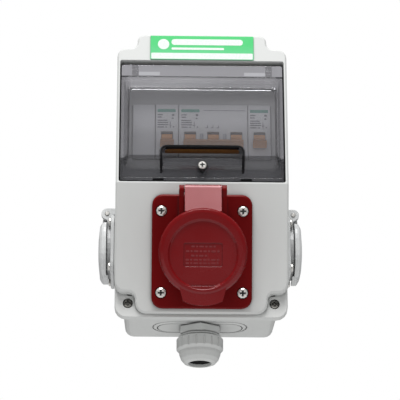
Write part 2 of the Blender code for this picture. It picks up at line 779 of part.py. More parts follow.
def build_inlet_gasket(shop, finish):
    half = INLET_SCREW_PITCH / 2.0
    outline = rectangle(-36.8, 36.8, INLET_BOTTOM + 0.7, INLET_TOP - 0.7, 7.4, 4)
    gasket = prism("inlet_gasket", outline, GAP, INLET_PLATE_BACK - GAP, INLET, shop.parts, finish)
    cut(gasket, shop.hole(29.4, -1.0, 3.0, INLET, segments=28))
    for x, t in corners_of(half, half):
        cut(gasket, shop.hole(2.2, -1.0, 3.0, INLET, (x, t), 8))


def build_inlet_housing(shop, finish):
    wide, low, high, edge = INLET_HALF_WIDTH, INLET_BOTTOM, INLET_TOP, 1.2
    full = rectangle(-wide, wide, low, high, INLET_CORNER, 5)
    eased = rectangle(-wide + edge, wide - edge, low + edge, high - edge, INLET_CORNER - edge, 5)
    loops = [
        level(full, INLET_PLATE_BACK),
        level(full, INLET_PLATE_FRONT - edge),
        level(eased, INLET_PLATE_FRONT),
    ]
    housing = skin("inlet_housing", loops, INLET, shop.parts, finish)
    barrel = [
        (INLET_REAR_RADIUS, INLET_REAR),
        (INLET_REAR_RADIUS, 3.0),
        (INLET_BARREL, 3.0),
        (INLET_BARREL, INLET_RIM - 0.6),
        (INLET_BARREL - 0.6, INLET_RIM),
    ]
    join(housing, shop.turned_tool(barrel, 36, INLET))
    # Hinge ears, as (height up the face, distance out of it)
    ear = [(20.0, 5.0), (41.0, 5.0), (48.6, 19.2)]
    ear += arc((LID_PIVOT_UP, LID_PIVOT_OUT), 4.0, -20, 90, 6)
    ear += [(40.0, 25.2), (20.0, 25.2)]
    for left in (-17.6, 14.0):
        join(housing, shop.tool(ear, left, left + 3.6, inlet_sideways()))
    cut(housing, shop.hole(INLET_WELL, INLET_REAR - 2.0, INLET_RIM + 2.0, INLET, segments=32))
    keyway = rectangle(-3.0, 3.0, -24.6, -18.0, 0.5, 1)
    cut(housing, shop.tool(keyway, -5.0, INLET_RIM + 2.0, INLET))
    axle = circle(1.9, 12, (LID_PIVOT_UP, LID_PIVOT_OUT))
    cut(housing, shop.tool(axle, -19.0, 19.0, inlet_sideways()))
    half = INLET_SCREW_PITCH / 2.0
    for x, t in corners_of(half, half):
        profile = [(2.1, 0.0), (2.1, 4.6), (4.5, 4.6), (4.5, 8.0)]
        cut(housing, shop.turned_tool(profile, 14, INLET, (x, t)))


def inlet_sideways():
    """Frame for outlines given as (up the slanted face, out of it), pushed along +X."""
    origin = inlet_origin()
    up = (0, -math.sin(FACE_TILT), math.cos(FACE_TILT))
    out = (0, -math.cos(FACE_TILT), -math.sin(FACE_TILT))
    return frame(origin, up, out, (1, 0, 0))


def build_inlet_insert(shop, finish, brass):
    profile = [(22.1, -38.5), (22.1, -9.0), (21.3, -8.2)]
    insert = turned("inlet_insert", profile, 28, INLET, shop.parts, finish)
    for number in range(5):
        angle = math.radians(-90.0 + 72.0 * number)
        centre = (12.2 * math.cos(angle), 12.2 * math.sin(angle))
        bore = 4.2 if number == 0 else 3.8
        cut(insert, shop.hole(bore, -40.0, -6.0, INLET, centre, 12))
        outer = bore - GAP
        sleeve = [(outer, -37.0), (outer, -9.6), (outer - 1.0, -9.6), (outer - 1.0, -37.0)]
        turned("inlet_contact_%d" % (number + 1), sleeve, 12, INLET, shop.parts, brass, centre, True)
    key = rectangle(-2.4, 2.4, -3.0, 3.0, 0.5, 1)
    cut(insert, shop.tool(key, -12.0, -6.0, INLET))


def build_inlet_lid(shop, finish):
    """Round lid; its rim and its dished middle both sit a little below the socket's axis."""
    rim = [
        (LID_RADIUS, 26.4),
        (LID_RADIUS, LID_FRONT - 2.2),
        (LID_RADIUS - 1.2, LID_FRONT - 0.6),
        (LID_RADIUS - 3.2, LID_FRONT),
    ]
    dish = [(26.0, LID_FRONT), (24.5, LID_FRONT - 1.5), (1.0, LID_FRONT - 1.5)]
    loops = [ring_level(1.0, LID_BACK, 36), ring_level(29.2, LID_BACK, 36), ring_level(29.2, 26.4, 36)]
    loops += [ring_level(radius, out, 36, (0.0, -LID_DROP)) for radius, out in rim]
    loops += [ring_level(radius, out, 36, (0.0, -DISH_DROP)) for radius, out in dish]
    lid = skin("inlet_lid", loops, INLET, shop.parts, finish)
    panel = rectangle(-14.2, 14.2, -11.8, 5.6, 1.2, 2)
    cut(lid, shop.tool(panel, LID_FRONT - 2.1, LID_FRONT + 1.0, INLET))
    tab = arc((0.0, -8.2), 32.2, -116.6, -63.4, 6) + [(17.4, -26.0), (-17.4, -26.0)]
    join(lid, shop.tool(tab, LID_BACK + 0.2, LID_FRONT - 0.4, INLET))
    sideways = inlet_sideways()
    arm = [(26.0, LID_BACK + 0.1), (26.0, LID_FRONT - 2.0), (29.0, LID_FRONT - 2.0)]
    arm += arc((LID_PIVOT_UP, LID_PIVOT_OUT), 4.3, 60, -135, 8)
    arm += [(39.6, LID_PIVOT_OUT + 5.0), (34.0, LID_BACK + 0.1)]
    join(lid, shop.tool(arm, -13.6, 13.6, sideways))
    well = circle(3.4, 14, (LID_PIVOT_UP, LID_PIVOT_OUT))
    cut(lid, shop.tool(well, -6.0, 6.0, sideways))
    cut(lid, shop.tool(circle(1.9, 12, (LID_PIVOT_UP, LID_PIVOT_OUT)), -15.0, 15.0, sideways))
    set_origin(lid, INLET, (0.0, LID_PIVOT_UP, LID_PIVOT_OUT))


def build_inlet_lid_fittings(shop, steel, rubber):
    sideways = inlet_sideways()
    prism(
        "inlet_lid_pin",
        circle(1.6, 12, (LID_PIVOT_UP, LID_PIVOT_OUT)),
        -18.0,
        18.0,
        sideways,
        shop.parts,
        steel,
    )
    build_coil(shop, "inlet_lid_spring", steel, sideways, (LID_PIVOT_UP, LID_PIVOT_OUT), 2.55, 0.5, 5.0, 4)
    start, end = INLET_RIM + GAP, LID_BACK - GAP
    seal = [(28.4, start), (28.4, end), (23.2, end), (23.2, start)]
    made = turned("inlet_lid_seal", seal, 28, INLET, shop.parts, rubber, closed=True)
    set_origin(made, INLET, (0.0, LID_PIVOT_UP, LID_PIVOT_OUT))


def build_coil(shop, name, finish, matrix, centre, radius, wire, reach, turns):
    """Close helical spring about the local out axis, centred on zero."""
    steps = turns * 10
    loops = []
    for index in range(steps + 1):
        angle = 2.0 * math.pi * index / 10.0
        along = -reach + wire + (2.0 * reach - 2.0 * wire) * index / steps
        ring = []
        for corner in range(5):
            lean = 2.0 * math.pi * corner / 5.0
            distance = radius + wire * math.cos(lean)
            x = centre[0] + distance * math.cos(angle)
            y = centre[1] + distance * math.sin(angle)
            ring.append((x, y, along + wire * math.sin(lean)))
        loops.append(ring)
    skin(name, loops, matrix, shop.parts, finish, sharp=60.0)


def build_inlet_screws(shop, finish):
    half = INLET_SCREW_PITCH / 2.0
    for number, centre in enumerate(corners_of(half, half), 1):
        build_screw(shop, "inlet_screw_%d" % number, finish, INLET, centre, 3.9, 1.7, 7.0, 4.9, -7.0, 1.2)


# Domestic side sockets ---------------------------------------------------


def side_hinge_frame(side):
    """Frame for outlines given as (up, out) from the pad, pushed along the pin."""
    origin = (math.copysign(SIDE_PAD_FACE, side), -SIDE_DEPTH, SIDE_Z)
    return frame(origin, (0, 0, 1), (math.copysign(1.0, side), 0, 0), (0, math.copysign(1.0, side), 0))


def build_side_socket(shop, name, side, finishes):
    matrix = RIGHT if side > 0 else LEFT
    hinge = side_hinge_frame(side)
    build_side_housing(shop, name, matrix, hinge, finishes["socket"])
    insert = turned(
        name + "_insert",
        [(19.3, -25.4), (19.3, -12.6), (18.7, -12.0)],
        24,
        matrix,
        shop.parts,
        finishes["insert"],
    )
    for u in (-9.5, 9.5):
        cut(insert, shop.hole(2.6, -27.0, -10.0, matrix, (u, 0.0), 12))
    build_side_lid(shop, name, matrix, hinge, finishes["socket"])
    pin = circle(1.5, 12, (SIDE_PIVOT_UP, SIDE_PIVOT_OUT))
    prism(name + "_pin", pin, -15.4, 15.4, hinge, shop.parts, finishes["steel"])
    half = SIDE_SCREW_HALF
    for number, centre in enumerate(corners_of(half, half), 1):
        label = "%s_screw_%d" % (name, number)
        build_screw(shop, label, finishes["steel"], matrix, centre, 3.2, 1.35, 4.8, 3.2, -6.8, 0.9)


def build_side_housing(shop, name, matrix, hinge, finish):
    half, edge, corner = SIDE_PLATE_HALF, 0.7, 8.0
    loops = [
        level(rectangle(-half, half, -half, half, corner, 4), GAP),
        level(rectangle(-half, half, -half, half, corner, 4), SIDE_PLATE_FRONT - edge),
        level(rectangle(-half + edge, half - edge, -half + edge, half - edge, corner - edge, 4), SIDE_PLATE_FRONT),
    ]
    housing = skin(name + "_housing", loops, matrix, shop.parts, finish)
    barrel = [(SIDE_BARREL, SIDE_REAR), (SIDE_BARREL, SIDE_RIM - 0.4), (SIDE_BARREL - 0.4, SIDE_RIM)]
    join(housing, shop.turned_tool(barrel, 32, matrix))
    ear = [(15.0, 1.0), (24.9, 1.0), (30.6, -5.0), (30.9, SIDE_PIVOT_OUT - 1.0)]
    ear += arc((SIDE_PIVOT_UP, SIDE_PIVOT_OUT), 4.5, 0, 150, 8)
    ear += [(21.0, SIDE_PIVOT_OUT - 0.2), (15.0, SIDE_PIVOT_OUT - 0.2)]
    for start in (-14.7, 11.0):
        join(housing, shop.tool(ear, start, start + 3.7, hinge))
    cut(housing, shop.hole(SIDE_WELL, SIDE_REAR - 2.0, SIDE_RIM + 2.0, matrix, segments=28))
    axle = circle(1.8, 12, (SIDE_PIVOT_UP, SIDE_PIVOT_OUT))
    cut(housing, shop.tool(axle, -17.0, 17.0, hinge))
    for u, v in corners_of(SIDE_SCREW_HALF, SIDE_SCREW_HALF):
        cut(housing, shop.hole(1.7, -1.0, 4.0, matrix, (u, v), 8))


def build_side_lid(shop, name, matrix, hinge, finish):
    outline = rectangle(-25.5, 25.5, -22.5, 20.6, 17.0, 6)
    eased = rectangle(-24.9, 24.9, -21.9, 20.0, 16.4, 6)
    softer = rectangle(-22.0, 22.0, -19.0, 17.1, 14.0, 6)
    crown = rectangle(-13.0, 13.0, -10.0, 8.0, 8.0, 6)
    loops = [level(outline, 6.3), level(outline, 8.2), level(eased, 9.6), level(softer, 11.3), level(crown, 12.3)]
    lid = skin(name + "_lid", loops, matrix, shop.parts, finish, sharp=40.0)
    tab = rounded([(9.4, -21.8), (7.5, -24.0), (-7.5, -24.0), (-9.4, -21.8)], [0.0, 0.8, 0.8, 0.0], 2)
    join(lid, shop.tool(tab, 4.8, 8.6, matrix))
    arm = [(14.0, 6.6), (14.0, 9.4), (21.0, 9.4)]
    arm += arc((SIDE_PIVOT_UP, SIDE_PIVOT_OUT), 2.8, 70, -135, 8)
    arm += [(23.4, 6.6)]
    join(lid, shop.tool(arm, -10.7, 10.7, hinge))
    cut(lid, shop.tool(circle(1.8, 12, (SIDE_PIVOT_UP, SIDE_PIVOT_OUT)), -12.0, 12.0, hinge))
    set_origin(lid, matrix, (0.0, SIDE_PIVOT_UP, SIDE_PIVOT_OUT))


# Cable gland -------------------------------------------------------------


def hexagon(radius, start, end, chamfer):
    """Loops of a hexagonal prism with both rims eased."""
    corner_first = math.radians(30.0)
    full = circle(radius, 6, phase=corner_first)
    eased = circle(radius - chamfer, 6, phase=corner_first)
    return [level(eased, start), level(full, start + chamfer), level(full, end - chamfer), level(eased, end)]


def build_gland(shop, finish, rubber):
    seat = GLAND_SEAT + GAP
    collar = skin("gland_body", hexagon(17.2, seat, seat + 6.2, 0.8), DOWN, shop.parts, finish)
    neck = [
        (12.3, 91.0),
        (12.3, seat + 1.0),
        (13.4, seat + 1.0),
        (13.4, seat + 6.8),
        (16.2, seat + 6.8),
        (16.2, seat + 8.0),
        (13.6, seat + 8.0),
        (13.6, 125.0),
        (13.0, 125.6),
    ]
    join(collar, shop.turned_tool(neck, 24, DOWN))
    cut(collar, shop.hole(GLAND_BORE, 89.0, 128.0, DOWN, segments=20))
    locknut = skin("gland_locknut", hexagon(16.6, 95.4, 100.4, 0.8), DOWN, shop.parts, finish)
    cut(locknut, shop.hole(12.7, 94.0, 102.0, DOWN, segments=24))
    seal_profile = [(12.2, 126.0), (12.2, 129.6), (10.6, 131.0), (GLAND_BORE, 131.0), (GLAND_BORE, 126.0)]
    turned("gland_seal", seal_profile, 20, DOWN, shop.parts, rubber, closed=True)
    build_gland_nut(shop, finish)


def build_gland_nut(shop, finish):
    top = GLAND_SEAT + GAP + 8.7
    profile = [
        (17.2, top),
        (17.9, top + 0.8),
        (17.9, 122.6),
        (16.0, 124.8),
        (15.7, 126.8),
        (14.4, 130.4),
        (12.2, 133.0),
        (10.2, 133.8),
    ]
    nut = turned("gland_nut", profile, 36, DOWN, shop.parts, finish)
    bore = [(14.0, top - 1.0), (14.0, 126.2), (12.6, 129.8), (11.0, 131.4), (8.9, 131.4), (8.9, 136.0)]
    cut(nut, shop.turned_tool(bore, 24, DOWN))
    for number in range(18):
        angle = 2.0 * math.pi * number / 18.0
        centre = (18.7 * math.cos(angle), 18.7 * math.sin(angle))
        cut(nut, shop.hole(1.3, top + 1.6, 126.0, DOWN, centre, 6))
    set_origin(nut, DOWN, (0.0, 0.0, top))


def main():
    clear_scene()
    shop = Shop()
    grey = material("enclosure_grey", (0.62, 0.63, 0.62), 0.5)
    red = material("socket_red", (0.42, 0.01, 0.015), 0.35)
    black = material("rubber_black", (0.02, 0.02, 0.02), 0.7)
    steel = material("screw_steel", (0.75, 0.75, 0.75), 0.25, 1.0)
    brass = material("contact_brass", (0.8, 0.6, 0.25), 0.3, 1.0)
    smoke = material("window_smoke", (0.12, 0.12, 0.14), 0.1)
    white = material("breaker_white", (0.85, 0.85, 0.83), 0.45)
    toggle = material("toggle_tan", (0.75, 0.42, 0.12), 0.45)
    green = material("label_green", (0.08, 0.65, 0.2), 0.5)
    gland = material("gland_grey", (0.55, 0.56, 0.55), 0.5)
    dark = material("insert_dark", (0.05, 0.05, 0.055), 0.5)
    socket = material("socket_white", (0.78, 0.79, 0.8), 0.4)

    build_base(shop, grey)
    build_cover(shop, grey)
    build_cover_gasket(shop, black)
    build_cover_screws(shop, steel)
    build_label(shop, green)
    build_flap(shop, smoke)
    build_flap_pins(shop, steel)
    build_flap_screw(shop, steel, black)
    build_rail(shop, steel)
    build_earth_bar(shop, brass)
    build_breaker(shop, "breaker_left", white, -1.5 * MODULE, 1)
    build_breaker(shop, "breaker_triple", white, 0.5 * MODULE, 3)
    build_breaker(shop, "breaker_right", white, 2.5 * MODULE, 1)
    build_toggle(shop, "toggle_left", toggle, [-1.5 * MODULE])
    build_toggle(shop, "toggle_triple", toggle, [-0.5 * MODULE, 0.5 * MODULE, 1.5 * MODULE])
    build_toggle(shop, "toggle_right", toggle, [2.5 * MODULE])
    build_blank(shop, white, -2.5 * MODULE)
    build_inlet_gasket(shop, black)
    build_inlet_housing(shop, red)
    build_inlet_insert(shop, dark, brass)
    build_inlet_lid(shop, red)
    build_inlet_lid_fittings(shop, steel, black)
    build_inlet_screws(shop, steel)
    finishes = {"socket": socket, "insert": dark, "steel": steel}
    build_side_socket(shop, "left_socket", -1, finishes)
    build_side_socket(shop, "right_socket", 1, finishes)
    build_gland(shop, gland, black)


main()
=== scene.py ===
"""Looks of the portable power distribution box: materials, printed marks, light and camera.

The CAD frame gives every moulding, screw and hinge. This script adds the thin printed
and embossed details that ride on them, pieces of painted shade, paints everything, and sets up a plain
studio.
"""
import math

import bmesh
import bpy
from mathutils import Matrix, Quaternion, Vector


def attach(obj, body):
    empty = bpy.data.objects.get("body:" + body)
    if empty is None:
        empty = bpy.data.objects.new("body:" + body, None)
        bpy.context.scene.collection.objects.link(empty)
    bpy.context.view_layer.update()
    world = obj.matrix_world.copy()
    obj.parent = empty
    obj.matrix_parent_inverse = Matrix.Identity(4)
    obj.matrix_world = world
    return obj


# Sizes are millimetres, except in the materials, which work in metres like the frame.
MM = 0.001
FACE_TILT = math.radians(18.0)
INLET_CENTRE = (0.0, -84.66, -64.16)
INLET_SCREW_SPREAD = 30.5
INLET_SCREWS = (
    (-INLET_SCREW_SPREAD, -INLET_SCREW_SPREAD),
    (INLET_SCREW_SPREAD, -INLET_SCREW_SPREAD),
    (INLET_SCREW_SPREAD, INLET_SCREW_SPREAD),
    (-INLET_SCREW_SPREAD, INLET_SCREW_SPREAD),
)

# How far each surface stands out from the back plane, or from the slanted face.
BREAKER_FACE = 86.9
LABEL_FACE = 101.5
FLAP_FACE = 99.5
BULGE_FACE = 105.7
WINDOW_SCREW_TOP = 104.8
LID_PANEL = 34.9
INLET_SCREW_TOP = 7.0

# Prints start this far under the surface that carries them, and screw crosses
# end this far above the screw's top, so no two faces lie in one plane.
SKIN = 0.02
PRINT_HEIGHT = 0.06
TRIM_HEIGHT = 0.12
POLE_WIDTH = 17.7

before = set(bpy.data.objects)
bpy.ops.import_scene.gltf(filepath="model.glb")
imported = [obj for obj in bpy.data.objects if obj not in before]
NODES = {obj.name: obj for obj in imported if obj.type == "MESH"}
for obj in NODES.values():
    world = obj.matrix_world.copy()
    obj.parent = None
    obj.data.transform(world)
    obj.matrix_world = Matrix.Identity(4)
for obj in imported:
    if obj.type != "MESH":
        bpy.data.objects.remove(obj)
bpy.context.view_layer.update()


# Places -------------------------------------------------------------------


def place(origin, across, up, out):
    """Matrix from local millimetres (across, up, out) to metres in the row frame."""
    matrix = Matrix.Identity(4)
    for column, axis in enumerate((across, up, out)):
        for row in range(3):
            matrix[row][column] = axis[row] * MM
    for row in range(3):
        matrix[row][3] = origin[row] * MM
    return matrix


FRONT = place((0, 0, 0), (1, 0, 0), (0, 0, 1), (0, -1, 0))
INLET = place(
    INLET_CENTRE,
    (1, 0, 0),
    (0, -math.sin(FACE_TILT), math.cos(FACE_TILT)),
    (0, -math.cos(FACE_TILT), -math.sin(FACE_TILT)),
)
# Across is up the box and up is out of its front, for outlines pushed sideways.
PROFILE = place((0, 0, 0), (0, 0, 1), (0, -1, 0), (1, 0, 0))


# Meshes -------------------------------------------------------------------


def rounded_bar(left, right, bottom, top, radius, steps=3):
    """Counter-clockwise outline of a bar with rounded corners."""
    radius = min(radius, (right - left) / 2.01, (top - bottom) / 2.01)
    centres = [
        (right - radius, bottom + radius, -90),
        (right - radius, top - radius, 0),
        (left + radius, top - radius, 90),
        (left + radius, bottom + radius, 180),
    ]
    points = []
    for x, y, start in centres:
        for step in range(steps + 1):
            angle = math.radians(start + 90.0 * step / steps)
            points.append((x + radius * math.cos(angle), y + radius * math.sin(angle)))
    return points


def disc(x, y, radius, steps=20):
    """Counter-clockwise outline of a round dot."""
    turn = 2.0 * math.pi / steps
    return [(x + radius * math.cos(turn * i), y + radius * math.sin(turn * i)) for i in range(steps)]


def linked(name, solid, paint):
    """Turn a finished bmesh into an object of the scene with one material."""
    bmesh.ops.recalc_face_normals(solid, faces=solid.faces)
    mesh = bpy.data.meshes.new(name)
    solid.to_mesh(mesh)
    solid.free()
    mesh.materials.append(paint)
    made = bpy.data.objects.new(name, mesh)
    bpy.context.scene.collection.objects.link(made)
    return made


def raised(name, outlines, base, top, matrix, paint, body):
    """One piece of thin raised shapes, each with an eased upper rim."""
    solid = bmesh.new()
    ease = (top - base) * 0.35
    for outline in outlines:
        middle_x = sum(point[0] for point in outline) / len(outline)
        middle_y = sum(point[1] for point in outline) / len(outline)
        loops = []
        for height, inset in ((base, 0.0), (top - ease, 0.0), (top, ease)):
            loop = []
            for x, y in outline:
                inward = Vector((middle_x - x, middle_y - y))
                inward = inward.normalized() * min(inset, inward.length * 0.5)
                loop.append(solid.verts.new(matrix @ Vector((x + inward.x, y + inward.y, height))))
            loops.append(loop)
        for lower, upper in zip(loops, loops[1:]):
            for index in range(len(outline)):
                following = (index + 1) % len(outline)
                solid.faces.new((lower[index], lower[following], upper[following], upper[index]))
        solid.faces.new(loops[0])
        solid.faces.new(loops[-1])
    made = linked(name, solid, paint)
    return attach(made, body)


# Materials ----------------------------------------------------------------


class Paint:
    """A Principled material under construction, with short names for common nodes."""

    def __init__(self, name):
        self.material = bpy.data.materials.new(name)
        self.material.use_nodes = True
        self.tree = self.material.node_tree
        self.shader = self.tree.nodes["Principled BSDF"]
        self.where = self.node("ShaderNodeTexCoord").outputs["Object"]

    def node(self, kind, **settings):
        """New node of this kind with its settings."""
        made = self.tree.nodes.new(kind)
        for name, value in settings.items():
            setattr(made, name, value)
        return made

    def feed(self, socket, value):
        """Link another node's output to the socket, or set its plain value."""
        if isinstance(value, bpy.types.NodeSocket):
            self.tree.links.new(value, socket)
        else:
            socket.default_value = value

    def noise(self, scale, detail=3.0, stretch=None):
        """Noise value from 0 to 1 in row-frame metres."""
        source = self.where
        if stretch is not None:
            mapping = self.node("ShaderNodeMapping")
            mapping.inputs["Scale"].default_value = stretch
            self.feed(mapping.inputs["Vector"], source)
            source = mapping.outputs["Vector"]
        made = self.node("ShaderNodeTexNoise")
        self.feed(made.inputs["Vector"], source)
        made.inputs["Scale"].default_value = scale
        made.inputs["Detail"].default_value = detail
        return made.outputs["Fac"]

    def spread(self, value, low, high, start=0.0, end=1.0):
        """Map value from low..high to start..end, clamped."""
        made = self.node("ShaderNodeMapRange")
        self.feed(made.inputs["Value"], value)
        made.inputs["From Min"].default_value = low
        made.inputs["From Max"].default_value = high
        made.inputs["To Min"].default_value = start
        made.inputs["To Max"].default_value = end
        return made.outputs["Result"]

    def band(self, value, low, high, soft=0.0002):
        """1 where value lies between low and high, 0 elsewhere."""
        rise = self.spread(value, low - soft, low + soft)
        fall = self.spread(value, high - soft, high + soft)
        return self.maths("SUBTRACT", rise, fall)

    def maths(self, operation, first, second):
        made = self.node("ShaderNodeMath", operation=operation)
        self.feed(made.inputs[0], first)
        self.feed(made.inputs[1], second)
        return made.outputs["Value"]

    def mix(self, amount, first, second, blend="MIX"):
        made = self.node("ShaderNodeMix", data_type="RGBA", blend_type=blend)
        self.feed(made.inputs["Factor"], amount)
        self.feed(made.inputs["A"], first)
        self.feed(made.inputs["B"], second)
        return made.outputs["Result"]

    def layers(self, amount, lower, upper):
        """Blend of two shaders, from lower at 0 to upper at 1."""
        made = self.node("ShaderNodeMixShader")
        self.feed(made.inputs["Fac"], amount)
        self.feed(made.inputs[1], lower)
        self.feed(made.inputs[2], upper)
        return made.outputs["Shader"]

    def edges(self, radius):
        """1 on edges sharper than a rounding of this radius, 0 on open faces."""
        soft = self.node("ShaderNodeBevel", samples=6)
        soft.inputs["Radius"].default_value = radius
        plain = self.node("ShaderNodeNewGeometry")
        dot = self.node("ShaderNodeVectorMath", operation="DOT_PRODUCT")
        self.feed(dot.inputs[0], soft.outputs["Normal"])
        self.feed(dot.inputs[1], plain.outputs["Normal"])
        return self.spread(dot.outputs["Value"], 0.995, 0.8)

    def hollows(self, reach, samples=8):
        """Ambient-occlusion mask for painted shade: 1 deep in grooves and corners narrower than the
        reach, 0 in the open.
        """
        made = self.node("ShaderNodeAmbientOcclusion", samples=samples)
        made.inputs["Distance"].default_value = reach
        return self.spread(made.outputs["AO"], 0.9, 0.45)

    def relief(self, heights, radius=None):
        """Chain of bumps from (height, distance in metres, strength), on rounded edges."""
        normal = None
        if radius is not None:
            soft = self.node("ShaderNodeBevel", samples=6)
            soft.inputs["Radius"].default_value = radius
            normal = soft.outputs["Normal"]
        for height, distance, strength in heights:
            bump = self.node("ShaderNodeBump")
            bump.inputs["Distance"].default_value = distance
            bump.inputs["Strength"].default_value = strength
            self.feed(bump.inputs["Height"], height)
            if normal is not None:
                self.feed(bump.inputs["Normal"], normal)
            normal = bump.outputs["Normal"]
        self.feed(self.shader.inputs["Normal"], normal)


def colour(red, green, blue):
    return (red, green, blue, 1.0)


# Dark colour of the faint flow marks and of the painted shade in grooves.
DIRT_AND_SHADE = colour(0.02, 0.02, 0.02)
CLEAR_SHEEN = colour(1.0, 1.0, 1.0)


def moulded(name, base, worn, roughness, grain, rounding, gloss=0.5, wear_and_highlight=0.35, sheen=CLEAR_SHEEN):
    """Moulded plastic: fine spark-eroded grain, faint flow marks, worn edges that on the reds are also a
    painted highlight, painted shade in grooves.
    """
    paint = Paint(name)
    cloud = paint.noise(14.0, 3.0)
    flow = paint.noise(60.0, 4.0, (1.0, 1.0, 0.25))
    tone = paint.mix(paint.spread(cloud, 0.3, 0.7, 0.0, 0.10), base, worn)
    tone = paint.mix(paint.spread(flow, 0.45, 0.75, 0.0, 0.03), tone, DIRT_AND_SHADE)
    patches = paint.spread(paint.noise(160.0, 4.0), 0.42, 0.62)
    # Paler edges from rubbing, and on the reds also a painted edge highlight.
    rubbed_and_highlit = paint.maths("MULTIPLY", paint.edges(rounding * 1.2), patches)
    tone = paint.mix(paint.maths("MULTIPLY", rubbed_and_highlit, wear_and_highlight), tone, worn)
    # Painted shade: ambient occlusion darkens grooves, gaps and corners towards the dark colour.
    painted_shade = paint.maths("MULTIPLY", paint.hollows(0.003), 0.45)
    tone = paint.mix(painted_shade, tone, DIRT_AND_SHADE)
    paint.feed(paint.shader.inputs["Base Color"], tone)
    smears = paint.spread(paint.noise(38.0, 5.0), 0.35, 0.7, roughness - 0.05, roughness + 0.08)
    paint.feed(paint.shader.inputs["Roughness"], smears)
    paint.shader.inputs["Specular IOR Level"].default_value = gloss
    paint.shader.inputs["Specular Tint"].default_value = sheen
    fine = paint.noise(2600.0, 2.0)
    dents = paint.noise(420.0, 3.0)
    paint.relief([(dents, 0.00004, grain * 0.5), (fine, 0.00003, grain)], rounding)
    return paint.material


def metal(name, base, dull, roughness, plated=1.0):
    """Plated steel or brass with turning marks, tarnish, small scratches and painted shade in its
    recesses.
    """
    paint = Paint(name)
    stain = paint.spread(paint.noise(220.0, 5.0), 0.4, 0.7)
    tone = paint.mix(stain, base, dull)
    # Painted shade: ambient occlusion darkens the screw slots and recesses.
    tone = paint.mix(paint.hollows(0.0012), tone, colour(0.05, 0.05, 0.05))
    paint.feed(paint.shader.inputs["Base Color"], tone)
    paint.shader.inputs["Metallic"].default_value = plated
    scuffed = paint.spread(paint.noise(900.0, 4.0), 0.3, 0.7, roughness - 0.06, roughness + 0.14)
    paint.feed(paint.shader.inputs["Roughness"], scuffed)
    lines = paint.noise(1500.0, 2.0, (1.0, 0.2, 1.0))
    paint.relief([(lines, 0.00003, 0.25)], 0.0002)
    return paint.material


def rubber(name):
    """Black elastomer with a dusty, slightly uneven skin."""
    paint = Paint(name)
    dust = paint.spread(paint.noise(120.0, 5.0), 0.45, 0.75, 0.0, 0.3)
    paint.feed(
        paint.shader.inputs["Base Color"],
        paint.mix(dust, colour(0.012, 0.012, 0.013), colour(0.08, 0.08, 0.08)),
    )
    paint.feed(paint.shader.inputs["Roughness"], paint.spread(dust, 0.0, 0.3, 0.55, 0.8))
    paint.relief([(paint.noise(1400.0, 3.0), 0.00006, 0.4)], 0.0003)
    return paint.material


# Zones of the smoked window, in metres. Spans and flanks are distances from the
# middle along X and the others are heights. The first four pairs say where a zone
# fades in, and the rest say where a zone starts and ends.
WINDOW_HINGE_STRIP = (0.0732, 0.0742)
WINDOW_TOP_BEVEL = (0.0605, 0.0625)
WINDOW_BULGE_FOOT = (0.0045, 0.0065)
WINDOW_FLANKS = (0.0562, 0.0574)
HINGE_PAD_SPAN = (0.0323, 0.0484)
HINGE_PAD_HEIGHTS = (0.0745, 0.0773)
STRIP_END_SPAN = (0.0486, 0.0536)
GRIP_SPAN = (-0.01, 0.0300)
GRIP_HEIGHTS = (-0.0030, 0.0046)
TOP_CREASE = (0.0727, 0.0739)
LOW_CREASE = (0.0044, 0.0056)


